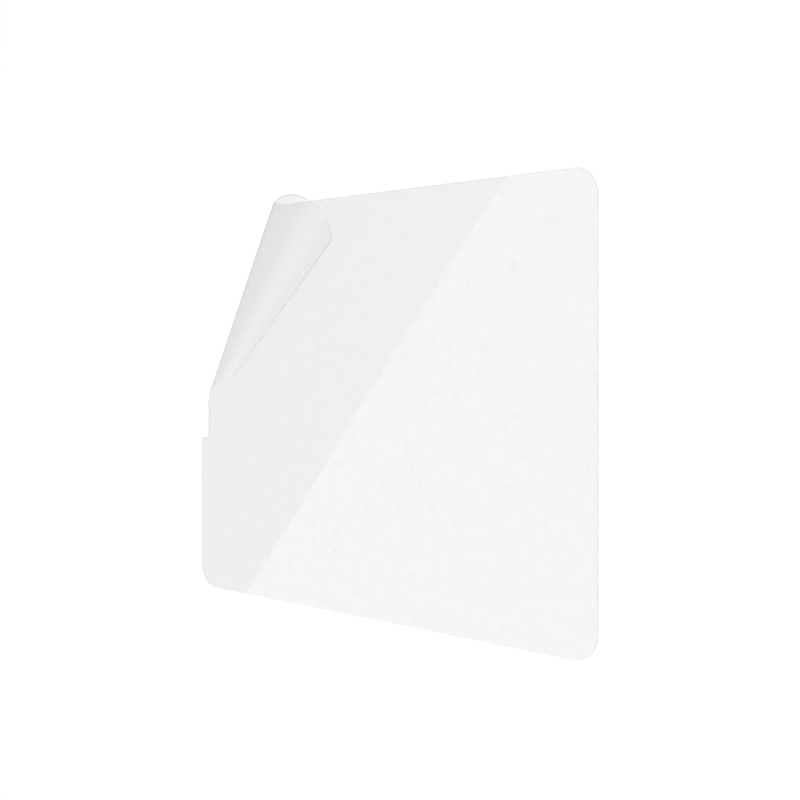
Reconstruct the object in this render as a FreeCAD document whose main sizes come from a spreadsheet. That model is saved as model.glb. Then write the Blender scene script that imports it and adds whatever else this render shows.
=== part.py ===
import FreeCAD, Part
import math
import os
import Sketcher

# Paper-feel screen film, lying flat with one corner peeled back over itself.
# Frame: origin at the middle of the sheet's underside, +X to the right, +Y to the top edge, +Z up.
# The peeled corner is a roll of two cones that share one apex beyond the left edge:
# a tight bend that leaves the sheet tangentially, then a wide arch that comes down to the free edge.

# Named sizes, in millimetres and degrees.
SIZES = {
    "film_width": 275.0,       # along X, flat
    "film_height": 209.0,      # along Y, flat
    "film_thick": 0.2,
    "corner_radius": 12.5,
    "notch_depth": 6.1,        # sensor notch in the left edge
    "notch_half": 21.0,        # from the sheet's middle line to the notch's end
    "notch_round": 1.8,
    "apex_clear": 9.9,         # the roll's apex, out from the notch's edge
    "apex_low": 14.8,          # the roll's apex, below the sheet's middle line
    "fold_angle": 55.0,        # line where the film leaves the flat, from +X
    "bend_half_angle": 2.3,    # cone of the tight bend
    "bend_turn": 145.0,
    "arch_half_angle": 14.5,   # cone of the wide arch
    "free_angle": 38.3,        # free edge of the flap, from +X in plan
    "lip_start": 7.7,          # end of the flap's straight top edge, right of the fold's end
    "lip_radius": 30.8,        # far edge of the flap, in plan
    "lip_shift": 9.8,          # lip's centre, right of the lip's start
    "step_outer": 44.6,        # apex to the notch's end on the flap's free edge
    "step_inner": 37.8,        # apex to the notch's end on the flap's inset edge
}

# The arch is turned a little past the free edge, where the plan outline trims it.
ARCH_TURN = 92.0

# Lengths that follow from the sizes: the fold line from the apex to the top edge, the width of the
# bend's cone at the top edge, a strip of film that passes the lip, and the width of the arch's cone there.
FOLD_LENGTH = "(sizes.film_height / 2 + sizes.apex_low) / sin(sizes.fold_angle)"
BEND_WIDTH = "2 * " + FOLD_LENGTH + " * sin(sizes.bend_half_angle)"
STRIP_REACH = FOLD_LENGTH + " + sizes.lip_radius"
ARCH_WIDTH = "2 * (" + STRIP_REACH + ") * sin(sizes.arch_half_angle)"

START = 1
END = 2
CENTRE = 3
ORIGIN = -1


def point(x, y):
    return FreeCAD.Vector(x, y, 0)


def line(sketch, a, b, construction=False):
    return sketch.addGeometry(Part.LineSegment(point(*a), point(*b)), construction)


def arc(sketch, centre, radius, start_deg, end_deg):
    circle = Part.Circle(point(*centre), FreeCAD.Vector(0, 0, 1), radius)
    shape = Part.ArcOfCircle(circle, math.radians(start_deg), math.radians(end_deg))
    return sketch.addGeometry(shape, False)


def rule(sketch, *terms):
    return sketch.addConstraint(Sketcher.Constraint(*terms))


def size(sketch, name, expression, *terms):
    """Adds a dimension, names it and binds it to the sheet of sizes."""
    index = sketch.addConstraint(Sketcher.Constraint(*terms))
    sketch.renameConstraint(index, name)
    sketch.setExpression("Constraints." + name, expression)


def bearing(centre, at):
    """Direction from a centre to a point, in degrees."""
    return math.degrees(math.atan2(at[1] - centre[1], at[0] - centre[0]))


def along(start, direction, distance):
    """The point at a distance from a start in a direction."""
    return (start[0] + distance * direction[0], start[1] + distance * direction[1])


def add_fold_line(sketch, guess):
    """Construction line from the roll's apex to the top edge, where the film leaves the flat."""
    apex = guess["apex"]
    top = guess["tangent"][1]
    fold = line(sketch, apex, guess["tangent"], True)
    size(sketch, "apex_x", "sizes.film_width / 2 - sizes.notch_depth + sizes.apex_clear",
         "DistanceX", fold, START, ORIGIN, START, -apex[0])
    size(sketch, "apex_y", "sizes.apex_low", "DistanceY", fold, START, ORIGIN, START, -apex[1])
    size(sketch, "fold", "sizes.fold_angle", "Angle", fold, math.radians(SIZES["fold_angle"]))
    size(sketch, "fold_end", "sizes.film_height / 2", "DistanceY", ORIGIN, START, fold, END, top)
    return fold


def starting_guess():
    """Approximate points and lengths, from which the sketches are solved."""
    half_w = SIZES["film_width"] / 2
    half_h = SIZES["film_height"] / 2
    slope = math.tan(math.radians(SIZES["fold_angle"]))
    inset = -half_w + SIZES["notch_depth"]
    apex = (inset - SIZES["apex_clear"], -SIZES["apex_low"])
    tangent = (apex[0] + (half_h - apex[1]) / slope, half_h)
    fold_start = (inset, apex[1] + (inset - apex[0]) * slope)
    fold_length = math.dist(apex, tangent)
    bend_width = 2 * fold_length * math.sin(math.radians(SIZES["bend_half_angle"]))
    return {"half_w": half_w, "half_h": half_h, "inset": inset, "apex": apex,
            "tangent": tangent, "fold_start": fold_start,
            "fold_length": fold_length, "bend_width": bend_width}


def draw_sheet(doc, guess):
    """Outline of the part of the film that still lies flat."""
    sketch = doc.addObject("Sketcher::SketchObject", "sheet_outline")
    half_w = guess["half_w"]
    half_h = guess["half_h"]
    inset = guess["inset"]
    low = -SIZES["notch_half"]
    small = SIZES["notch_round"]
    big = SIZES["corner_radius"]
    inset_edge = line(sketch, guess["fold_start"], (inset, low + small))
    inner_round = arc(sketch, (inset - small, low + small), small, -90, 0)
    step = line(sketch, (inset - small, low), (-half_w + small, low))
    outer_round = arc(sketch, (-half_w + small, low - small), small, 90, 180)
    left = line(sketch, (-half_w, low - small), (-half_w, -half_h + big))
    low_left = arc(sketch, (-half_w + big, -half_h + big), big, 180, 270)
    bottom = line(sketch, (-half_w + big, -half_h), (half_w - big, -half_h))
    low_right = arc(sketch, (half_w - big, -half_h + big), big, 270, 360)
    right = line(sketch, (half_w, -half_h + big), (half_w, half_h - big))
    top_right = arc(sketch, (half_w - big, half_h - big), big, 0, 90)
    top = line(sketch, (half_w - big, half_h), guess["tangent"])
    seam = line(sketch, guess["tangent"], guess["fold_start"])
    fold = add_fold_line(sketch, guess)
    rule(sketch, "Tangent", inset_edge, END, inner_round, END)
    rule(sketch, "Tangent", inner_round, START, step, START)
    rule(sketch, "Tangent", step, END, outer_round, START)
    rule(sketch, "Tangent", outer_round, END, left, START)
    rule(sketch, "Tangent", left, END, low_left, START)
    rule(sketch, "Tangent", low_left, END, bottom, START)
    rule(sketch, "Tangent", bottom, END, low_right, START)
    rule(sketch, "Tangent", low_right, END, right, START)
    rule(sketch, "Tangent", right, END, top_right, START)
    rule(sketch, "Tangent", top_right, END, top, START)
    rule(sketch, "Coincident", top, END, seam, START)
    rule(sketch, "Coincident", seam, END, inset_edge, START)
    rule(sketch, "Coincident", fold, END, top, END)
    rule(sketch, "PointOnObject", inset_edge, START, fold)
    rule(sketch, "Vertical", inset_edge)
    rule(sketch, "Horizontal", step)
    rule(sketch, "Vertical", left)
    rule(sketch, "Horizontal", bottom)
    rule(sketch, "Vertical", right)
    rule(sketch, "Horizontal", top)
    rule(sketch, "Equal", low_left, low_right)
    rule(sketch, "Equal", low_left, top_right)
    rule(sketch, "Equal", inner_round, outer_round)
    size(sketch, "corner", "sizes.corner_radius", "Radius", low_left, big)
    size(sketch, "notch_corner", "sizes.notch_round", "Radius", outer_round, small)
    size(sketch, "left_edge", "sizes.film_width / 2", "DistanceX", left, START, ORIGIN, START, half_w)
    size(sketch, "right_edge", "sizes.film_width / 2", "DistanceX", ORIGIN, START, right, START, half_w)
    size(sketch, "low_edge", "sizes.film_height / 2", "DistanceY", bottom, START, ORIGIN, START, half_h)
    size(sketch, "notch_edge", "sizes.film_width / 2 - sizes.notch_depth",
         "DistanceX", inset_edge, START, ORIGIN, START, -inset)
    size(sketch, "notch_end", "sizes.notch_half", "DistanceY", step, START, ORIGIN, START, -low)
    return sketch


def draw_flap(doc, guess):
    """Plan outline of the rolled corner: notch edge, step, free edge, corner, lip and top edge.

    It closes outside the bend, a bend's width away from the fold line.
    """
    sketch = doc.addObject("Sketcher::SketchObject", "flap_outline")
    apex = guess["apex"]
    tangent = guess["tangent"]
    begin = guess["fold_start"]
    margin = guess["bend_width"]
    free = math.radians(SIZES["free_angle"])
    way = (math.cos(free), math.sin(free))
    normal = (-way[1], way[0])
    big = SIZES["corner_radius"]
    lip = SIZES["lip_radius"]
    shift = SIZES["lip_shift"]
    outer = SIZES["step_outer"]
    inner = SIZES["step_inner"]

    lip_begin = (tangent[0] + SIZES["lip_start"], tangent[1])
    lip_centre = (lip_begin[0] + shift, lip_begin[1] - math.sqrt(lip ** 2 - shift ** 2))
    offset = (lip_centre[0] - apex[0], lip_centre[1] - apex[1])
    run = offset[0] * way[0] + offset[1] * way[1]
    side = offset[0] * normal[0] + offset[1] * normal[1]
    reach = run + math.sqrt((lip - big) ** 2 - (side - big) ** 2)
    corner_end = along(apex, way, reach)
    corner_centre = along(corner_end, normal, big)
    joint_deg = bearing(lip_centre, corner_centre)
    step_out = along(apex, way, outer)
    inset_side = (begin[0] - apex[0]) * normal[0] + (begin[1] - apex[1]) * normal[1]
    step_in = along(along(apex, normal, inset_side), way, math.sqrt(inner ** 2 - inset_side ** 2))
    above = (begin[0], begin[1] + margin)
    top_left = (tangent[0] - margin, tangent[1])

    inset_edge = line(sketch, begin, step_in)
    step = line(sketch, step_in, step_out)
    free_edge = line(sketch, step_out, corner_end)
    corner = arc(sketch, corner_centre, big, SIZES["free_angle"] - 90, joint_deg)
    lip_arc = arc(sketch, lip_centre, lip, joint_deg, bearing(lip_centre, lip_begin))
    top = line(sketch, lip_begin, top_left)
    outside = line(sketch, top_left, above)
    rise = line(sketch, above, begin)
    fold = add_fold_line(sketch, guess)
    rule(sketch, "Coincident", inset_edge, END, step, START)
    rule(sketch, "Coincident", step, END, free_edge, START)
    rule(sketch, "Tangent", free_edge, END, corner, START)
    rule(sketch, "Tangent", corner, END, lip_arc, START)
    rule(sketch, "Coincident", lip_arc, END, top, START)
    rule(sketch, "Coincident", top, END, outside, START)
    rule(sketch, "Coincident", outside, END, rise, START)
    rule(sketch, "Coincident", rise, END, inset_edge, START)
    rule(sketch, "Horizontal", top)
    rule(sketch, "Vertical", rise)
    rule(sketch, "PointOnObject", inset_edge, START, fold)
    rule(sketch, "PointOnObject", fold, START, free_edge)
    rule(sketch, "PointOnObject", fold, END, top)
    rule(sketch, "Parallel", inset_edge, free_edge)
    size(sketch, "fold_begin", "sizes.film_width / 2 - sizes.notch_depth",
         "DistanceX", inset_edge, START, ORIGIN, START, -begin[0])
    size(sketch, "free", "sizes.free_angle", "Angle", free_edge, free)
    size(sketch, "corner_size", "sizes.corner_radius", "Radius", corner, big)
    size(sketch, "lip_size", "sizes.lip_radius", "Radius", lip_arc, lip)
    size(sketch, "lip_place", "sizes.lip_start", "DistanceX", fold, END, top, START, SIZES["lip_start"])
    size(sketch, "lip_offset", "sizes.lip_shift", "DistanceX", top, START, lip_arc, CENTRE, shift)
    size(sketch, "step_far", "sizes.step_outer", "Distance", fold, START, step, END, outer)
    size(sketch, "step_near", "sizes.step_inner", "Distance", fold, START, step, START, inner)
    size(sketch, "margin_low", BEND_WIDTH, "DistanceY", rise, END, rise, START, margin)
    size(sketch, "margin_high", BEND_WIDTH, "DistanceX", top, END, fold, END, margin)
    return sketch


def draw_strip(doc, guess):
    """Section of the film along a straight line of the roll, from near the apex to past the lip."""
    sketch = doc.addObject("Sketcher::SketchObject", "strip_section")
    sketch.Placement = FreeCAD.Placement(FreeCAD.Vector(), FreeCAD.Rotation(FreeCAD.Vector(1, 0, 0), 90))
    near = SIZES["apex_clear"]
    far = guess["fold_length"] + SIZES["lip_radius"]
    thick = SIZES["film_thick"]
    under = line(sketch, (near, 0), (far, 0))
    far_end = line(sketch, (far, 0), (far, thick))
    over = line(sketch, (far, thick), (near, thick))
    near_end = line(sketch, (near, thick), (near, 0))
    rule(sketch, "Coincident", under, END, far_end, START)
    rule(sketch, "Coincident", far_end, END, over, START)
    rule(sketch, "Coincident", over, END, near_end, START)
    rule(sketch, "Coincident", near_end, END, under, START)
    rule(sketch, "PointOnObject", under, START, ORIGIN)
    rule(sketch, "Horizontal", under)
    rule(sketch, "Horizontal", over)
    rule(sketch, "Vertical", far_end)
    rule(sketch, "Vertical", near_end)
    size(sketch, "near", "sizes.apex_clear", "DistanceX", ORIGIN, START, under, START, near)
    size(sketch, "far", STRIP_REACH, "DistanceX", ORIGIN, START, under, END, far)
    size(sketch, "thick", "sizes.film_thick", "DistanceY", far_end, START, far_end, END, thick)
    return sketch


def extrude(doc, name, sketch, length_expression):
    solid = doc.addObject("Part::Extrusion", name)
    solid.Base = sketch
    solid.DirMode = "Custom"
    solid.Dir = FreeCAD.Vector(0, 0, 1)
    solid.Solid = True
    solid.setExpression("LengthFwd", length_expression)
    return solid


def roll(doc, name, strip, half_angle, turn_expression, placement):
    """A piece of conical film: the strip turned about the cone's axis through the apex."""
    piece = doc.addObject("Part::Revolution", name)
    piece.Source = strip
    piece.Solid = True
    piece.Base = FreeCAD.Vector(0, 0, 0)
    piece.Axis = FreeCAD.Vector(1, 0, 0)
    piece.setExpression("Axis.x", "cos(" + half_angle + ")")
    piece.setExpression("Axis.z", "sin(" + half_angle + ")")
    piece.setExpression("Angle", turn_expression)
    piece.setExpression("Placement", placement)
    return piece


def check(doc):
    for item in doc.Objects:
        if "Invalid" in item.State or "Error" in item.State:
            raise RuntimeError(item.Name + " did not build: " + str(item.State))
        if hasattr(item, "Shape"):
            if item.Shape.isNull():
                raise RuntimeError(item.Name + " has no shape")
            if not item.Shape.isValid():
                raise RuntimeError(item.Name + " is not valid")


def main():
    doc = FreeCAD.newDocument("screen_film")
    sheet = doc.addObject("Spreadsheet::Sheet", "sizes")
    for row, (name, value) in enumerate(SIZES.items(), start=1):
        sheet.set("A" + str(row), name)
        sheet.set("B" + str(row), str(value))
        sheet.setAlias("B" + str(row), name)
    doc.recompute()

    guess = starting_guess()
    sheet_outline = draw_sheet(doc, guess)
    flap_outline = draw_flap(doc, guess)
    strip = draw_strip(doc, guess)
    doc.recompute()

    flat = extrude(doc, "flat_sheet", sheet_outline, "sizes.film_thick")
    prism = extrude(doc, "flap_prism", flap_outline, ARCH_WIDTH)

    # The bend starts on the flat film's fold line; the arch goes on from the bend's last line.
    apex = "vector(-sizes.film_width / 2 + sizes.notch_depth - sizes.apex_clear; -sizes.apex_low; 0)"
    fold_turn = "rotation(vector(0; 0; 1); sizes.fold_angle)"
    bend_axis = "vector(cos(sizes.bend_half_angle); 0; sin(sizes.bend_half_angle))"
    bend_turn = "rotation(" + bend_axis + "; sizes.bend_turn)"
    bend = roll(doc, "bend", strip, "sizes.bend_half_angle", "sizes.bend_turn",
                "placement(" + apex + "; " + fold_turn + ")")
    arch = roll(doc, "arch", strip, "sizes.arch_half_angle", str(ARCH_TURN),
                "placement(" + apex + "; " + fold_turn + " * " + bend_turn + ")")

    rolled = doc.addObject("Part::MultiFuse", "rolled_corner")
    rolled.Shapes = [bend, arch]
    flap = doc.addObject("Part::MultiCommon", "flap")
    flap.Shapes = [rolled, prism]
    film = doc.addObject("Part::MultiFuse", "screen_film")
    film.Shapes = [flat, flap]
    film.Label = "screen_film"
    film.Placement = FreeCAD.Placement()
    doc.recompute()
    check(doc)

    if len(film.Shape.Solids) != 1:
        raise RuntimeError("the film should be one solid, not " + str(len(film.Shape.Solids)))
    joined = flat.Shape.Volume + flap.Shape.Volume
    if abs(film.Shape.Volume - joined) > 0.001 * joined:
        raise RuntimeError("the flap overlaps the flat film")

    os.makedirs("parts", exist_ok=True)
    film.Shape.Solids[0].exportStep("parts/screen_film.step")
    print("film volume", round(film.Shape.Volume, 1), "mm3")


main()
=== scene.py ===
"""Paper-feel screen film with one corner peeled back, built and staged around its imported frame."""

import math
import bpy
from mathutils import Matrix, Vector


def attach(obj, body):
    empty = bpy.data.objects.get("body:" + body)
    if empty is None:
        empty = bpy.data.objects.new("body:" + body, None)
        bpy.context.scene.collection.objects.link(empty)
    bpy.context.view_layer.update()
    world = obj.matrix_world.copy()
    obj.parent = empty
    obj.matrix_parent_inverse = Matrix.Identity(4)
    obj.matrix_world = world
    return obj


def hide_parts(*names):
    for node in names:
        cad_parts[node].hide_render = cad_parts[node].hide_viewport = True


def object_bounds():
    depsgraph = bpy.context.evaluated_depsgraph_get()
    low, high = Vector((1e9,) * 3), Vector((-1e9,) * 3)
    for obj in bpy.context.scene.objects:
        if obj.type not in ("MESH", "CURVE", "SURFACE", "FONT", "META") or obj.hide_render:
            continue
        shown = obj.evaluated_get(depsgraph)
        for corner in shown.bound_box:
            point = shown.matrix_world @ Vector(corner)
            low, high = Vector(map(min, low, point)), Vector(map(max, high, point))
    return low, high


bl_info = {
    "name": "Paper-feel Screen Film",
    "version": (1, 0, 0),
    "blender": (4, 5, 0),
    "location": "3D View > Sidebar > Screen Film",
    "description": "Builds a translucent screen film with a peeled corner and sets its studio stage",
    "category": "Add Mesh",
}

import bmesh
import bpy
from mathutils import Matrix, Vector

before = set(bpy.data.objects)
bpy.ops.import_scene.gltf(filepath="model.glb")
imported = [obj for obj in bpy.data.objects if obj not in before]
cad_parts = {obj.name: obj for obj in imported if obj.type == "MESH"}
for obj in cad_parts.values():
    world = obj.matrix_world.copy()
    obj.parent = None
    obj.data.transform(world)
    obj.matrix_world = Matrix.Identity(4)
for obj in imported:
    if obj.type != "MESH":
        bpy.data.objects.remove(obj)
cad_low, cad_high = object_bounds()

NODE = "screen_film"

# How finely the film's curves are divided.
ROUND_STEPS = 12
NOTCH_STEPS = 6
BEND_STEPS = 40
BEND_EASE = 1.5
ARCH_STEPS = 24
CORNER_STEPS = 10
LENGTH_STEPS = 12
SMOOTH_ANGLE = math.radians(35)

# How far past the bend a line of film is looked for, and how often that range is halved.
SEARCH_TURN = math.radians(120)
SEARCH_HALVINGS = 50

# Strength of the dark rim along the film's edges, and how it fades in along the free edge. The rim is
# the cut edge's density with painted shade on it, set edge by edge by how the light falls: faint along
# the lower edge, which faces the key lamp.
TOP_RIM = 0.38
LOW_RIM = 0.05
INSET_RIM = 0.1
BEND_RIM = 0.08
LIP_RIM = 0.25
FREE_RIM = 0.7
FREE_FADE = 0.012

# Headings, from the flat, between which the far edge's rim changes: in the bend, where the bend is seen
# end on, on the lip and at the corner.
BEND_HEADINGS = (math.radians(0), math.radians(60))
EDGE_ON_HEADINGS = (math.radians(112), math.radians(140))
LIP_HEADINGS = (math.radians(186), math.radians(196))
CORNER_HEADINGS = (math.radians(206), math.radians(218))

# Heading and spread of the painted shade where the bend is seen end on from the camera, and the heading
# where the rough side is full.
EDGE_ON_HEADING = math.radians(137)
EDGE_ON_SPREAD = math.radians(11)
PEEL_HEADING = math.radians(30)

# Painted light and shade on the roll: its colour is painted whiter past the line where the bend is seen
# end on, and again over the arch. It is painted darker again towards the free edge.
# It is painted whiter on the notch's side, and less so along the lip.
BEND_PAINTED_LIGHT = 0.345
BEND_PAINTED_LIGHT_HEADINGS = (math.radians(146), math.radians(160))
ARCH_PAINTED_LIGHT = 0.405
ARCH_PAINTED_LIGHT_HEADINGS = (math.radians(172), math.radians(205))
FREE_EDGE_PAINTED_SHADE = 0.195
FREE_EDGE_SHADE_HEADINGS = (math.radians(207), math.radians(217))
NOTCH_SIDE_PAINTED_LIGHT = 0.4
LIP_PAINTED_SHADE = 0.55

# Grain of the paper-like tooth, the share of the density that it moves, and its relief.
TOOTH_DETAIL = 2.0
TOOTH_ROUGHNESS = 0.6
TOOTH_MIDDLE = 0.5
TOOTH_SHARE = 0.2
RELIEF_STRENGTH = 0.02
RELIEF_DEPTH = 0.00003

# Flecks in the hard coat: mottle levels where they begin and are full, and the coat that they take.
MOTTLE_DETAIL = 1.0
MOTTLE_ROUGHNESS = 0.5
FLECK_LEVELS = (0.6, 0.66)
FLECK_DULLNESS = 0.7

# Gloss of the film and its hard coat.
FILM_IOR = 1.5
BODY_SHINE = 0.2

# Distances from the film's middle between which the floor goes over to plain white.
FLOOR_FADE = (0.5, 1.6)

# Colour sockets of a Mix node, by their number.
MIX_SHARE = 0
MIX_FIRST = 6
MIX_SECOND = 7
MIX_RESULT = 2

WHITE = (1.0, 1.0, 1.0, 1.0)


class FilmSize(bpy.types.PropertyGroup):
    """Cut of the flat film."""

    width: bpy.props.FloatProperty(
        name="Width", description="Length of the long edges, flat",
        default=cad_high.x - cad_low.x, unit="LENGTH")
    height: bpy.props.FloatProperty(
        name="Height", description="Length of the short edges, flat",
        default=-2 * cad_low.y, unit="LENGTH")
    thick: bpy.props.FloatProperty(
        name="Thickness", description="Thickness of the film",
        default=0.0002, unit="LENGTH", precision=5)
    corner_radius: bpy.props.FloatProperty(
        name="Corner radius", description="Radius of the four corners",
        default=0.0125, unit="LENGTH")
    notch_depth: bpy.props.FloatProperty(
        name="Notch depth", description="How far the sensor notch goes into the left edge",
        default=0.0061, unit="LENGTH")
    notch_half: bpy.props.FloatProperty(
        name="Notch half length", description="From the film's middle line to the notch's end",
        default=0.021, unit="LENGTH")
    notch_round: bpy.props.FloatProperty(
        name="Notch rounding", description="Radius at the notch's corners",
        default=0.0018, unit="LENGTH")
    rim_width: bpy.props.FloatProperty(
        name="Rim width", description="Width of the denser band along the cut edge",
        default=0.001, unit="LENGTH", precision=5)


class CurlSize(bpy.types.PropertyGroup):
    """Shape of the peeled corner, a roll of two cones with one apex."""

    apex_clear: bpy.props.FloatProperty(
        name="Apex clearance", description="The roll's apex, out from the notch's edge",
        default=0.0099, unit="LENGTH")
    apex_low: bpy.props.FloatProperty(
        name="Apex drop", description="The roll's apex, below the film's middle line",
        default=0.0148, unit="LENGTH")
    fold_angle: bpy.props.FloatProperty(
        name="Fold angle", description="Line where the film leaves the flat, from the long edge",
        default=math.radians(55), subtype="ANGLE")
    bend_cone: bpy.props.FloatProperty(
        name="Bend cone", description="Half angle of the tight bend's cone",
        default=math.radians(2.3), subtype="ANGLE")
    bend_turn: bpy.props.FloatProperty(
        name="Bend turn", description="How far the tight bend turns",
        default=math.radians(145), subtype="ANGLE")
    arch_cone: bpy.props.FloatProperty(
        name="Arch cone", description="Half angle of the wide arch's cone",
        default=math.radians(14.5), subtype="ANGLE")
    free_angle: bpy.props.FloatProperty(
        name="Free edge angle", description="Free edge of the flap in plan, from the long edge",
        default=math.radians(38.3), subtype="ANGLE")
    lip_start: bpy.props.FloatProperty(
        name="Lip start", description="Lip's arc meets the top edge's line, right of the fold's end",
        default=0.0077, unit="LENGTH")
    lip_radius: bpy.props.FloatProperty(
        name="Lip radius", description="Radius of the flap's far edge in plan",
        default=0.0308, unit="LENGTH")
    lip_shift: bpy.props.FloatProperty(
        name="Lip shift", description="Lip's centre, right of the lip's start",
        default=0.0098, unit="LENGTH")
    shoulder: bpy.props.FloatProperty(
        name="Shoulder", description="Lip's top, back to where the lip leaves the top edge's line",
        default=0.0193, unit="LENGTH")
    notch_creep: bpy.props.FloatProperty(
        name="Notch creep", description="How far the notch's edge draws back round the bend",
        default=0.0055, unit="LENGTH")
    step_outer: bpy.props.FloatProperty(
        name="Step, outer", description="Apex to the notch's end on the free edge",
        default=0.0446, unit="LENGTH")
    step_inner: bpy.props.FloatProperty(
        name="Step, inner", description="Apex to the notch's end on the inset edge",
        default=0.0378, unit="LENGTH")


class FilmFinish(bpy.types.PropertyGroup):
    """Look of the film."""

    colour: bpy.props.FloatVectorProperty(
        name="Film colour", description="Milky body of the film where it lies flat",
        default=(0.42, 0.42, 0.42), subtype="COLOR", size=3, min=0, max=1)
    # Painted light: the whiter colour that the roll is painted towards where light falls on it.
    painted_light_colour: bpy.props.FloatVectorProperty(
        name="Haze colour", description="White haze on the film where it has come off",
        default=(0.89, 0.89, 0.89), subtype="COLOR", size=3, min=0, max=1)
    # Painted shade: the darker colour that the cut edges and the end-on part of the bend are painted
    # with.
    edge_colour: bpy.props.FloatVectorProperty(
        name="Edge colour", description="Cut edge and crest of the bend, where the film is seen end on",
        default=(0.4, 0.4, 0.4), subtype="COLOR", size=3, min=0, max=1)
    density: bpy.props.FloatProperty(
        name="Density", description="Share of the light that one face of the film stops",
        default=0.163, subtype="FACTOR", min=0, max=1)
    edge_density: bpy.props.FloatProperty(
        name="Edge density", description="What the cut edge adds to the density",
        default=0.16, subtype="FACTOR", min=0, max=1)
    # Painted shade: the density that the bend gets where it is seen end on from the camera.
    edge_on_shade_density: bpy.props.FloatProperty(
        name="Crest density", description="What the strained crest of the bend adds to the density",
        default=0.12, subtype="FACTOR", min=0, max=1)
    scatter: bpy.props.FloatProperty(
        name="Scatter", description="Share of the stopped light that goes on, scattered",
        default=0.86, subtype="FACTOR", min=0, max=1)
    gloss: bpy.props.FloatProperty(
        name="Coat roughness", description="Roughness of the hard coat",
        default=0.025, subtype="FACTOR", min=0, max=1)
    peeled_roughness: bpy.props.FloatProperty(
        name="Peeled roughness", description="Roughness of the side that was stuck down",
        default=0.45, subtype="FACTOR", min=0, max=1)
    tooth: bpy.props.FloatProperty(
        name="Tooth", description="Spacing of the paper-like tooth",
        default=0.0007, unit="LENGTH", precision=5)
    mottle: bpy.props.FloatProperty(
        name="Mottle", description="Spacing of the dull flecks in the hard coat",
        default=0.0045, unit="LENGTH", precision=5)


class StageLook(bpy.types.PropertyGroup):
    """Floor, light and camera."""

    floor_colour: bpy.props.FloatVectorProperty(
        name="Floor colour", description="Plain pale floor",
        default=(0.97, 0.97, 0.97), subtype="COLOR", size=3, min=0, max=1)
    floor_glow: bpy.props.FloatProperty(
        name="Floor glow", description="Share of the floor round the film that is seen as plain white",
        default=0.6, subtype="FACTOR", min=0, max=1)
    sky: bpy.props.FloatProperty(
        name="Sky", description="Strength of the even light from all round",
        default=0.72, min=0)
    key_power: bpy.props.FloatProperty(
        name="Key power", description="Power of the soft lamp on the camera's side",
        default=45.5, unit="POWER", min=0)
    card_power: bpy.props.FloatProperty(
        name="Card power", description="Power of the card that is mirrored in the film",
        default=3.55, unit="POWER", min=0)
    lens: bpy.props.FloatProperty(
        name="Lens", description="Focal length in millimetres on a 36 mm sensor",
        default=58.787, unit="CAMERA")
    camera_place: bpy.props.FloatVectorProperty(
        name="Camera", description="Where the camera stands",
        default=(0.46386, 0.02341, 0.44421), subtype="XYZ", unit="LENGTH", size=3)
    camera_tilt: bpy.props.FloatProperty(
        name="Camera tilt", description="Angle between the view and straight down",
        default=math.radians(44.946), subtype="ANGLE")
    camera_shift: bpy.props.FloatProperty(
        name="Camera shift", description="Vertical shift of the picture",
        default=-0.0518)


def ease(value, start, end):
    """Rises smoothly from nought at the start to one at the end."""
    share = min(max((value - start) / (end - start), 0.0), 1.0)
    return share * share * (3 - 2 * share)


def way(angle):
    """Unit vector in plan at an angle from +X."""
    return Vector((math.cos(angle), math.sin(angle)))


def bearing(vector):
    """Angle of a vector in plan from +X."""
    return math.atan2(vector.y, vector.x)


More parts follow.
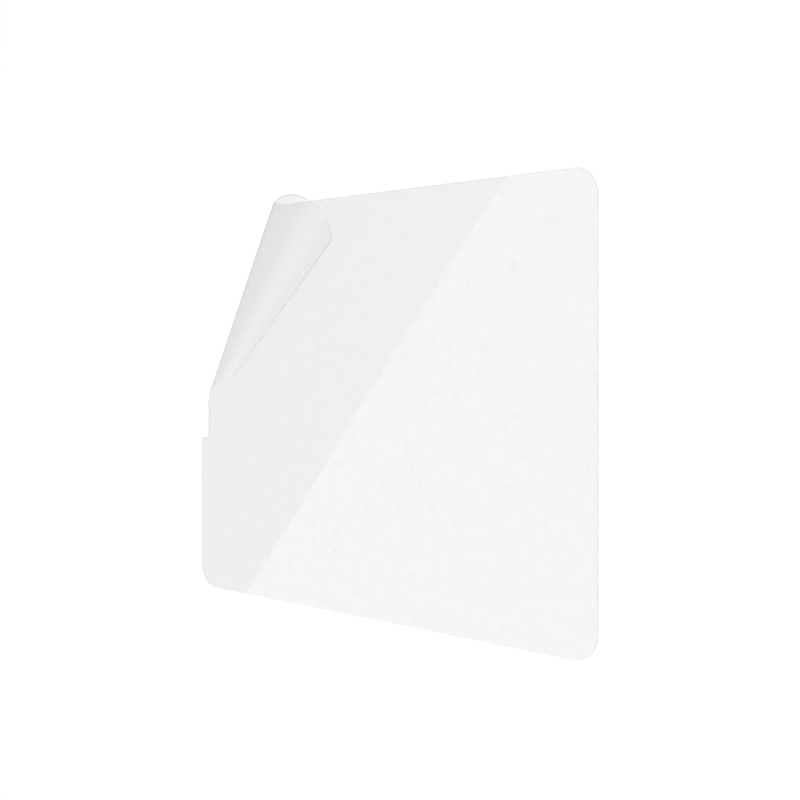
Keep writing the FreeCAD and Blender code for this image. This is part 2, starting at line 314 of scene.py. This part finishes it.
class CurlPlan:
    """Lines and arcs that bound the peeled corner in plan, seen from the roll's apex."""

    def __init__(self, film, curl):
        self.place_fold(film, curl)
        self.place_lip(curl)
        self.place_corner(film.corner_radius)
        self.place_step(curl)

    def place_fold(self, film, curl):
        """Apex, direction of the free edge, and fold line from the notch to the top edge."""
        inset = film.notch_depth - film.width / 2
        self.apex = Vector((inset - curl.apex_clear, -curl.apex_low))
        self.fold_way = way(curl.fold_angle)
        self.free_way = way(curl.free_angle)
        self.normal = Vector((-self.free_way.y, self.free_way.x))
        self.fold_start = self.apex + self.fold_way * (curl.apex_clear / self.fold_way.x)
        rise = film.height / 2 - self.apex.y
        self.fold_end = self.apex + self.fold_way * (rise / self.fold_way.y)

    def place_lip(self, curl):
        """Lip's arc past the top edge, and the wider shoulder that leads up to its top."""
        drop = math.sqrt(curl.lip_radius ** 2 - curl.lip_shift ** 2)
        bulge = curl.lip_radius - drop
        lip_begin = self.fold_end + Vector((curl.lip_start, 0))
        self.lip_radius = curl.lip_radius
        self.lip_centre = lip_begin + Vector((curl.lip_shift, -drop))
        lip_top = self.lip_centre + Vector((0, curl.lip_radius))
        self.top_bearing = bearing(lip_top - self.apex)
        shoulder_start = lip_top - Vector((curl.shoulder, bulge))
        self.shoulder_bearing = bearing(shoulder_start - self.apex)
        self.shoulder_radius = (curl.shoulder ** 2 + bulge ** 2) / (2 * bulge)
        self.shoulder_centre = lip_top - Vector((0, self.shoulder_radius))

    def place_corner(self, radius):
        """Rounded corner that runs smoothly from the lip into the free edge."""
        offset = self.lip_centre - self.apex
        gap = self.lip_radius - radius
        aside = offset.dot(self.normal) - radius
        reach = offset.dot(self.free_way) + math.sqrt(gap ** 2 - aside ** 2)
        self.corner_radius = radius
        self.corner_centre = self.apex + self.free_way * reach + self.normal * radius
        outward = (self.corner_centre - self.lip_centre).normalized()
        self.corner_sweep = math.acos(outward.dot(-self.normal))
        self.joint_bearing = self.corner_bearing(self.corner_sweep)

    def place_step(self, curl):
        """Notch's end on the flap, a step from its inset edge out to its free edge."""
        side = (self.fold_start - self.apex).dot(self.normal)
        inner_run = math.sqrt(curl.step_inner ** 2 - side ** 2)
        self.step_in = self.apex + self.normal * side + self.free_way * inner_run
        self.step_out = self.apex + self.free_way * curl.step_outer

    def corner_bearing(self, turn):
        """Bearing of the point on the corner's arc that lies a turn away from the free edge."""
        spoke = -self.normal * math.cos(turn) + self.free_way * math.sin(turn)
        return bearing(self.corner_centre + spoke * self.corner_radius - self.apex)

    def line_hit(self, ray, start, line):
        """Distance along a ray from the apex to a line through a starting point."""
        return (start - self.apex).cross(line) / ray.cross(line)

    def circle_hit(self, ray, centre, radius):
        """Distance along a ray from the apex to the far side of a circle."""
        offset = centre - self.apex
        run = offset.dot(ray)
        return run + math.sqrt(max(radius ** 2 - offset.length_squared + run ** 2, 0))

    def near(self, ray, inset_start):
        """Distance in plan from the apex to the flap's inset edge or, past it, to its step."""
        if (self.step_in - self.apex).cross(ray) >= 0:
            return self.line_hit(ray, inset_start, self.step_in - inset_start)
        return self.line_hit(ray, self.step_in, self.step_out - self.step_in)

    def far(self, ray):
        """Distance in plan from the apex to the flap's far edge: top edge, shoulder, lip or corner."""
        angle = bearing(ray)
        if angle > self.shoulder_bearing:
            return (self.fold_end.y - self.apex.y) / ray.y
        if angle > self.top_bearing:
            return self.circle_hit(ray, self.shoulder_centre, self.shoulder_radius)
        if angle > self.joint_bearing:
            return self.circle_hit(ray, self.lip_centre, self.lip_radius)
        return self.circle_hit(ray, self.corner_centre, self.corner_radius)


class Roll:
    """The peeled corner in space: straight lines of film turned about two cones."""

    def __init__(self, plan, curl):
        self.plan = plan
        self.origin = plan.apex.to_3d()
        self.fold = Matrix.Rotation(curl.fold_angle, 3, "Z")
        self.bend_axis = Vector((math.cos(curl.bend_cone), 0, math.sin(curl.bend_cone)))
        self.arch_axis = Vector((math.cos(curl.arch_cone), 0, math.sin(curl.arch_cone)))
        self.bend_turn = curl.bend_turn
        self.fold_near = (plan.fold_start - plan.apex).length
        self.notch_creep = curl.notch_creep
        last_line = self.turned(curl.bend_turn).col[0].to_2d()
        self.inset_start = plan.apex + last_line * (self.fold_near + curl.notch_creep)

    def turned(self, heading):
        """Rotation of the strip of film after it has turned through a heading."""
        bent = min(heading, self.bend_turn)
        rotation = self.fold @ Matrix.Rotation(bent, 3, self.bend_axis)
        if heading > self.bend_turn:
            rotation = rotation @ Matrix.Rotation(heading - self.bend_turn, 3, self.arch_axis)
        return rotation

    def heading_at(self, goal):
        """Heading in the arch at which the line of film has a bearing in plan."""
        low = self.bend_turn
        high = self.bend_turn + SEARCH_TURN
        for _ in range(SEARCH_HALVINGS):
            middle = (low + high) / 2
            if bearing(self.turned(middle).col[0]) > goal:
                low = middle
            else:
                high = middle
        return (low + high) / 2

    def span(self, heading):
        """Where the line of film at a heading begins and ends, measured from the apex."""
        ray = self.turned(heading).col[0].to_2d()
        scale = ray.length
        ray.normalize()
        far = self.plan.far(ray) / scale
        if heading > self.bend_turn:
            return self.plan.near(ray, self.inset_start) / scale, far
        return self.fold_near + self.notch_creep * heading / self.bend_turn, far

    def headings(self, rim_width, free_angle):
        """Headings of the lines of film, closer together near the flat and at the corner."""
        plan = self.plan
        found = [self.bend_turn * (step / BEND_STEPS) ** BEND_EASE for step in range(BEND_STEPS)]
        joint = self.heading_at(plan.joint_bearing)
        for step in range(ARCH_STEPS):
            found.append(self.bend_turn + (joint - self.bend_turn) * step / ARCH_STEPS)
        rim_turn = math.acos(1 - rim_width / plan.corner_radius)
        for step in range(CORNER_STEPS + 1):
            turn = plan.corner_sweep + (rim_turn - plan.corner_sweep) * step / CORNER_STEPS
            found.append(self.heading_at(plan.corner_bearing(turn)))
        found.append(self.heading_at(free_angle))
        return found


class FilmSkin:
    """Points and faces of the film's upper skin, with the matching points of its lower skin."""

    MARKS = ("rim", "edge_on_shade", "peeled", "painted_light")

    def __init__(self):
        self.low = []
        self.high = []
        self.marks = {title: [] for title in self.MARKS}
        self.faces = []

    def point(self, low, high, rim, edge_on_shade=0.0, peeled=0.0, painted_light=0.0):
        """Adds a point of both skins with its marks, and returns its number."""
        self.low.append(low)
        self.high.append(high)
        for title, value in zip(self.MARKS, (rim, edge_on_shade, peeled, painted_light)):
            self.marks[title].append(value)
        return len(self.low) - 1

    def edges_of_one_face(self):
        """Sides that only one face has, where the film is cut."""
        sides = set()
        for face in self.faces:
            for start, end in zip(face, face[1:] + face[:1]):
                sides.add((start, end))
        return [(a, b) for a, b in sorted(sides) if (b, a) not in sides]

    def to_mesh(self, name):
        """Closed mesh of both skins and the cut edge between them."""
        count = len(self.low)
        faces = [tuple(face[::-1]) for face in self.faces]
        faces += [tuple(index + count for index in face) for face in self.faces]
        faces += [(a, b, b + count, a + count) for a, b in self.edges_of_one_face()]
        mesh = bpy.data.meshes.new(name)
        mesh.from_pydata(self.low + self.high, [], faces)
        for title, values in self.marks.items():
            mesh.attributes.new(title, "FLOAT", "POINT").data.foreach_set("value", values + values)
        shaped = bmesh.new()
        shaped.from_mesh(mesh)
        wide = [face for face in shaped.faces if len(face.verts) > 4]
        bmesh.ops.triangulate(shaped, faces=wide, ngon_method="BEAUTY")
        shaped.to_mesh(mesh)
        shaped.free()
        mesh.shade_smooth()
        mesh.set_sharp_from_angle(angle=SMOOTH_ANGLE)
        if mesh.validate():
            raise RuntimeError("the film's mesh had faults")
        return mesh


def arc_points(centre, radius, start, end, steps):
    """Points of an arc between two angles in degrees, both ends included."""
    turns = [math.radians(start + (end - start) * step / steps) for step in range(steps + 1)]
    return [centre + way(turn) * radius for turn in turns]


def flat_outline(film, inward):
    """Outline of the flat film from the notch's end round to the top edge, moved inward.

    Each point comes with the strength of the dark rim there, which fades along the lower edge, where
    that edge faces the key lamp. The rim's darkness is partly painted shade.
    """
    half_w = film.width / 2
    half_h = film.height / 2
    inset = film.notch_depth - half_w
    low = -film.notch_half
    small = film.notch_round
    big = film.corner_radius
    # Each arc's centre, radius, two angles and steps, and the rim's strength at its start and end.
    arcs = (
        ((inset - small, low + small), small + inward, 0, -90, NOTCH_STEPS, 1.0, 1.0),
        ((small - half_w, low - small), small - inward, 90, 180, NOTCH_STEPS, 1.0, 1.0),
        ((big - half_w, big - half_h), big - inward, 180, 270, ROUND_STEPS, 1.0, LOW_RIM),
        ((half_w - big, big - half_h), big - inward, 270, 360, ROUND_STEPS, LOW_RIM, 1.0),
        ((half_w - big, half_h - big), big - inward, 0, 90, ROUND_STEPS, 1.0, TOP_RIM),
    )
    points = []
    strengths = []
    for centre, radius, start, end, steps, first_rim, last_rim in arcs:
        points += arc_points(Vector(centre), radius, start, end, steps)
        strengths += [first_rim + (last_rim - first_rim) * step / steps for step in range(steps + 1)]
    return points, strengths


def far_rim_strength(heading):
    """Dark rim along the roll's far edge, partly painted shade: faint in the bend, full from where the
    bend is seen end on, strong on the lip, then fainter again.
    """
    rim = TOP_RIM + (BEND_RIM - TOP_RIM) * ease(heading, *BEND_HEADINGS)
    rim += (1 - BEND_RIM) * ease(heading, *EDGE_ON_HEADINGS)
    rim += (LIP_RIM - 1) * ease(heading, *LIP_HEADINGS)
    return rim + (FREE_RIM - LIP_RIM) * ease(heading, *CORNER_HEADINGS)


def painted_flap_light(heading, share):
    """Painted light and shade at a heading, a share of the way from the notch's side of the film to its
    far edge.
    """
    painted_light = BEND_PAINTED_LIGHT * ease(heading, *BEND_PAINTED_LIGHT_HEADINGS)
    painted_light += ARCH_PAINTED_LIGHT * ease(heading, *ARCH_PAINTED_LIGHT_HEADINGS)
    painted_light -= FREE_EDGE_PAINTED_SHADE * ease(heading, *FREE_EDGE_SHADE_HEADINGS)
    return painted_light * (1 + NOTCH_SIDE_PAINTED_LIGHT * (1 - share))


def line_lengths(film, plan, near, far):
    """Where a line of film has its points: at its ends, and evenly from one rim to the other."""
    inner = near + film.rim_width / plan.fold_way.x
    outer = far - film.rim_width / plan.fold_way.y
    between = [inner + (outer - inner) * step / LENGTH_STEPS for step in range(LENGTH_STEPS + 1)]
    return [near, *between, far]


def roll_line(skin, film, roll, heading, at_free_edge=False):
    """Adds one line of film, from the notch's side to the far edge, and returns its points."""
    turned = roll.turned(heading)
    near, far = roll.span(heading)
    lengths = line_lengths(film, roll.plan, near, far)
    last = len(lengths) - 1
    # Painted shade along the line where the bend is seen end on from the camera.
    edge_on_shade = math.exp(-((heading - EDGE_ON_HEADING) / EDGE_ON_SPREAD) ** 2)
    peeled = ease(heading, 0, PEEL_HEADING)
    lip_share = 1 - LIP_PAINTED_SHADE * (1 - ease(heading, *LIP_HEADINGS))
    points = []
    for row, length in enumerate(lengths):
        rim = 0.0
        if row == last:
            rim = far_rim_strength(heading)
        elif at_free_edge:
            rim = FREE_RIM * min((length - near) / FREE_FADE, 1.0)
        elif row == 0:
            rim = 1 - (1 - INSET_RIM) * ease(heading, 0, roll.bend_turn)
        # Painted light and shade across the roll, with less of it on the last rows before the lip.
        painted_light = painted_flap_light(heading, row / last)
        if row >= last - 1:
            painted_light *= lip_share
        low = roll.origin + turned @ Vector((length, 0, 0))
        high = roll.origin + turned @ Vector((length, 0, film.thick))
        points.append(skin.point(low, high, rim, edge_on_shade, peeled, painted_light))
    return points


def lay_flat_sheet(skin, film, seam):
    """Adds the flat sheet, which shares the points of the fold line with the roll."""
    lift = Vector((0, 0, film.thick))
    outside = [seam[0]]
    inside = [seam[1]]
    edge, strengths = flat_outline(film, 0.0)
    band, _ = flat_outline(film, film.rim_width)
    for edge_point, band_point, rim in zip(edge, band, strengths):
        low = edge_point.to_3d()
        outside.append(skin.point(low, low + lift, rim))
        low = band_point.to_3d()
        inside.append(skin.point(low, low + lift, 0.0))
    outside.append(seam[-1])
    inside.append(seam[-2])
    for place in range(len(outside) - 1):
        skin.faces.append([outside[place], outside[place + 1], inside[place + 1], inside[place]])
    skin.faces.append(inside + seam[-3:1:-1])


def film_skin(film, curl):
    """The whole film: the peeled corner and the flat sheet, joined along the fold line."""
    plan = CurlPlan(film, curl)
    roll = Roll(plan, curl)
    skin = FilmSkin()
    *headings, free_heading = roll.headings(film.rim_width, curl.free_angle)
    lines = [roll_line(skin, film, roll, heading) for heading in headings]
    lines.append(roll_line(skin, film, roll, free_heading, at_free_edge=True))
    for left, right in zip(lines, lines[1:]):
        for row in range(len(left) - 1):
            skin.faces.append([left[row], left[row + 1], right[row + 1], right[row]])
    lay_flat_sheet(skin, film, lines[0])
    return skin


class Wire:
    """A node's output that takes part in Python arithmetic."""

    def __init__(self, graph, socket):
        self.graph = graph
        self.socket = socket

    def maths(self, operation, first, second):
        """Adds a Math node on two values."""
        return self.graph.add("ShaderNodeMath", {"operation": operation}, {0: first, 1: second})

    def most(self, other):
        """The larger of two values."""
        return self.maths("MAXIMUM", self, other)

    def __add__(self, other):
        return self.maths("ADD", self, other)

    def __radd__(self, other):
        return self.maths("ADD", other, self)

    def __sub__(self, other):
        return self.maths("SUBTRACT", self, other)

    def __rsub__(self, other):
        return self.maths("SUBTRACT", other, self)

    def __mul__(self, other):
        return self.maths("MULTIPLY", self, other)

    def __rmul__(self, other):
        return self.maths("MULTIPLY", other, self)


class Graph:
    """A node tree that is filled node by node."""

    def __init__(self, tree):
        self.tree = tree
        tree.nodes.clear()

    def add(self, kind, settings=None, inputs=None, output=0):
        """Adds a node, sets it, feeds its sockets and returns one of its outputs."""
        node = self.tree.nodes.new(kind)
        for name, setting in (settings or {}).items():
            setattr(node, name, setting)
        for name, value in (inputs or {}).items():
            if isinstance(value, Wire):
                self.tree.links.new(value.socket, node.inputs[name])
            else:
                node.inputs[name].default_value = value
        return Wire(self, node.outputs[output]) if node.outputs else None


def rgba(colour):
    """A plain colour as a node's socket takes it."""
    return (*colour, 1.0)


def mixed_colour(graph, share, first, second):
    """The first colour, which goes over to the second as the share goes to one."""
    return graph.add("ShaderNodeMix", {"data_type": "RGBA"}, {
        MIX_SHARE: share, MIX_FIRST: first, MIX_SECOND: second}, output=MIX_RESULT)


def mark(graph, title):
    """A value that the film's mesh has at its points."""
    return graph.add("ShaderNodeAttribute", {"attribute_name": title}, output="Fac")


def seen_directly(graph):
    """One for rays from the camera, also after a reflection or through the film."""
    camera = graph.add("ShaderNodeLightPath", output="Is Camera Ray")
    glossy = graph.add("ShaderNodeLightPath", output="Is Glossy Ray")
    through = graph.add("ShaderNodeLightPath", output="Is Transmission Ray")
    return camera.most(glossy).most(through)


def film_material(finish):
    """Translucent film with a paper-like tooth under a hard coat with dull flecks. It has painted light
    and shade on the roll, and painted shade along the edges and where the bend is seen end on.
    """
    material = bpy.data.materials.new("paper_feel_film")
    material.use_nodes = True
    graph = Graph(material.node_tree)
    place = graph.add("ShaderNodeTexCoord", output="Object")
    rim = mark(graph, "rim")
    edge_on_shade = mark(graph, "edge_on_shade")
    peeled = mark(graph, "peeled")
    painted_light = mark(graph, "painted_light")
    tooth = graph.add("ShaderNodeTexNoise", None, {
        "Vector": place, "Scale": 1 / finish.tooth,
        "Detail": TOOTH_DETAIL, "Roughness": TOOTH_ROUGHNESS})
    mottle = graph.add("ShaderNodeTexNoise", None, {
        "Vector": place, "Scale": 1 / finish.mottle,
        "Detail": MOTTLE_DETAIL, "Roughness": MOTTLE_ROUGHNESS})
    flecks = graph.add("ShaderNodeMapRange", {"clamp": True}, {
        "Value": mottle, "From Min": FLECK_LEVELS[0], "From Max": FLECK_LEVELS[1],
        "To Min": 0.0, "To Max": 1.0})
    # Painted light and shade: the roll's colour goes whiter, heading by heading, where light falls on
    # it.
    film = mixed_colour(graph, painted_light, rgba(finish.colour), rgba(finish.painted_light_colour))
    # Painted shade: the cut edges and the part of the bend seen end on are painted darker.
    body = mixed_colour(graph, rim.most(edge_on_shade), film, rgba(finish.edge_colour))
    density = finish.density + rim * finish.edge_density + edge_on_shade * finish.edge_on_shade_density
    density = density + (tooth - TOOTH_MIDDLE) * (TOOTH_SHARE * finish.density)
    density = density * (1 - finish.scatter + seen_directly(graph) * finish.scatter)
    coat = (1 - flecks * FLECK_DULLNESS) * (1 - peeled)
    relief = graph.add("ShaderNodeBump", None, {
        "Strength": RELIEF_STRENGTH, "Distance": RELIEF_DEPTH, "Height": tooth})
    shader = graph.add("ShaderNodeBsdfPrincipled", None, {
        "Base Color": body,
        "Roughness": finish.gloss + peeled * (finish.peeled_roughness - finish.gloss),
        "IOR": FILM_IOR,
        "Specular IOR Level": BODY_SHINE,
        "Alpha": density,
        "Normal": relief,
        "Coat Weight": coat,
        "Coat Roughness": finish.gloss,
        "Coat IOR": FILM_IOR,
    })
    graph.add("ShaderNodeOutputMaterial", None, {"Surface": shader})
    return material


def floor_material(look):
    """Plain floor that is seen as white and still takes soft shadows."""
    material = bpy.data.materials.new("pale_floor")
    material.use_nodes = True
    graph = Graph(material.node_tree)
    place = graph.add("ShaderNodeTexCoord", output="Object")
    away = graph.add("ShaderNodeVectorMath", {"operation": "LENGTH"}, {0: place}, output="Value")
    fade = graph.add("ShaderNodeMapRange", {"interpolation_type": "SMOOTHSTEP"}, {
        "Value": away, "From Min": FLOOR_FADE[0], "From Max": FLOOR_FADE[1],
        "To Min": look.floor_glow, "To Max": 1.0})
    plain = graph.add("ShaderNodeBsdfDiffuse", None, {"Color": rgba(look.floor_colour)})
    glow = graph.add("ShaderNodeEmission", None, {"Color": WHITE, "Strength": 1.0})
    mixed = graph.add("ShaderNodeMixShader", None, {0: seen_directly(graph) * fade, 1: plain, 2: glow})
    graph.add("ShaderNodeOutputMaterial", None, {"Surface": mixed})
    return material


def place_object(name, data):
    """Puts a new object into the scene."""
    made = bpy.data.objects.new(name, data)
    bpy.context.scene.collection.objects.link(made)
    return made


def aim(made, place, target):
    """Puts a lamp at a place and turns it to a target."""
    made.location = place
    made.rotation_mode = "QUATERNION"
    made.rotation_quaternion = (Vector(target) - Vector(place)).to_track_quat("-Z", "Y")


class SCREENFILM_OT_build_film(bpy.types.Operator):
    """Build the film with its peeled corner in place of the CAD solid"""

    bl_idname = "screen_film.build_film"
    bl_label = "Build Film"

    def execute(self, context):
        scene = context.scene
        skin = film_skin(scene.film_size, scene.film_curl)
        film = place_object("peeled_film", skin.to_mesh("peeled_film"))
        film.data.materials.append(film_material(scene.film_finish))
        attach(film, "root")
        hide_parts(NODE)
        return {"FINISHED"}


class SCREENFILM_OT_set_stage(bpy.types.Operator):
    """Set the floor, the lights and the camera"""

    bl_idname = "screen_film.set_stage"
    bl_label = "Set Stage"

    FILM_MIDDLE = (0, 0, 0)
    FLOOR_HALF = 4.0
    FLOOR_GAP = 0.00005
    KEY_PLACE = (1.7, -0.33, 2.37)
    KEY_SIZE = 1.67
    CARD_HEIGHT = 0.6
    CARD_PLACE = (-0.4209, -0.1632)
    CARD_LENGTH = 0.9
    CARD_WIDTH = 0.5
    CARD_TURN = math.radians(48.35)
    SENSOR_WIDTH = 36.0
    NEAR_CLIP = 0.01

    def execute(self, context):
        scene = context.scene
        look = scene.film_stage
        self.lay_floor(look)
        self.hang_lamps(look)
        self.light_room(scene, look)
        self.set_camera(scene, look)
        scene.view_settings.view_transform = "Standard"
        return {"FINISHED"}

    def lay_floor(self, look):
        """Square floor just under the film."""
        half = self.FLOOR_HALF
        corners = [(-half, -half, 0), (half, -half, 0), (half, half, 0), (-half, half, 0)]
        mesh = bpy.data.meshes.new("pale_floor")
        mesh.from_pydata(corners, [], [(0, 1, 2, 3)])
        mesh.materials.append(floor_material(look))
        floor = place_object("pale_floor", mesh)
        floor.location.z = -self.FLOOR_GAP

    def hang_lamps(self, look):
        """Soft key lamp, and a card whose straight edge the film's coat mirrors."""
        key = bpy.data.lights.new("soft_key", "AREA")
        key.shape = "DISK"
        key.size = self.KEY_SIZE
        key.energy = look.key_power
        aim(place_object("soft_key", key), self.KEY_PLACE, self.FILM_MIDDLE)

        card = bpy.data.lights.new("mirror_card", "AREA")
        card.shape = "RECTANGLE"
        card.size = self.CARD_LENGTH
        card.size_y = self.CARD_WIDTH
        card.energy = look.card_power
        hung = place_object("mirror_card", card)
        hung.location = (*self.CARD_PLACE, self.CARD_HEIGHT)
        hung.rotation_euler.z = self.CARD_TURN
        hung.visible_diffuse = False
        hung.visible_camera = False

    def light_room(self, scene, look):
        """Even light from all round, in a room that is seen as white."""
        world = bpy.data.worlds.new("even_room")
        world.use_nodes = True
        graph = Graph(world.node_tree)
        strength = look.sky + seen_directly(graph) * (1 - look.sky)
        room = graph.add("ShaderNodeBackground", None, {"Color": WHITE, "Strength": strength})
        graph.add("ShaderNodeOutputWorld", None, {"Surface": room})
        scene.world = world

    def set_camera(self, scene, look):
        """Camera that looks down on the film from the right, with the picture's top along +Y."""
        lens = bpy.data.cameras.new("camera")
        lens.lens = look.lens
        lens.sensor_width = self.SENSOR_WIDTH
        lens.shift_y = look.camera_shift
        lens.clip_start = self.NEAR_CLIP
        camera = place_object("camera", lens)
        right = Vector((math.cos(look.camera_tilt), 0, -math.sin(look.camera_tilt)))
        back = Vector((math.sin(look.camera_tilt), 0, math.cos(look.camera_tilt)))
        turned = Matrix((right, Vector((0, 1, 0)), back)).transposed()
        camera.location = look.camera_place
        camera.rotation_mode = "QUATERNION"
        camera.rotation_quaternion = turned.to_quaternion()
        scene.camera = camera


class SCREENFILM_PT_panel(bpy.types.Panel):
    """Lists the film's sizes, finish and stage"""

    bl_idname = "SCREENFILM_PT_panel"
    bl_label = "Screen Film"
    bl_space_type = "VIEW_3D"
    bl_region_type = "UI"
    bl_category = "Screen Film"

    def draw(self, context):
        scene = context.scene
        for group in (scene.film_size, scene.film_curl, scene.film_finish):
            self.list_values(group)
        self.layout.operator(SCREENFILM_OT_build_film.bl_idname)
        self.list_values(scene.film_stage)
        self.layout.operator(SCREENFILM_OT_set_stage.bl_idname)

    def list_values(self, group):
        """A box with the values of one group."""
        box = self.layout.box()
        for name in group.bl_rna.properties.keys():
            if name not in ("rna_type", "name"):
                box.prop(group, name)


GROUPS = {
    "film_size": FilmSize,
    "film_curl": CurlSize,
    "film_finish": FilmFinish,
    "film_stage": StageLook,
}
CLASSES = (*GROUPS.values(), SCREENFILM_OT_build_film, SCREENFILM_OT_set_stage, SCREENFILM_PT_panel)


def register():
    """Registers the classes and gives the scene their values."""
    for item in CLASSES:
        bpy.utils.register_class(item)
    for name, group in GROUPS.items():
        setattr(bpy.types.Scene, name, bpy.props.PointerProperty(type=group))


def unregister():
    """Takes the values and the classes away again."""
    for name in GROUPS:
        delattr(bpy.types.Scene, name)
    for item in reversed(CLASSES):
        bpy.utils.unregister_class(item)


def main():
    """Builds the film and its stage."""
    register()
    bpy.ops.screen_film.build_film()
    bpy.ops.screen_film.set_stage()


if __name__ == "__main__":
    main()
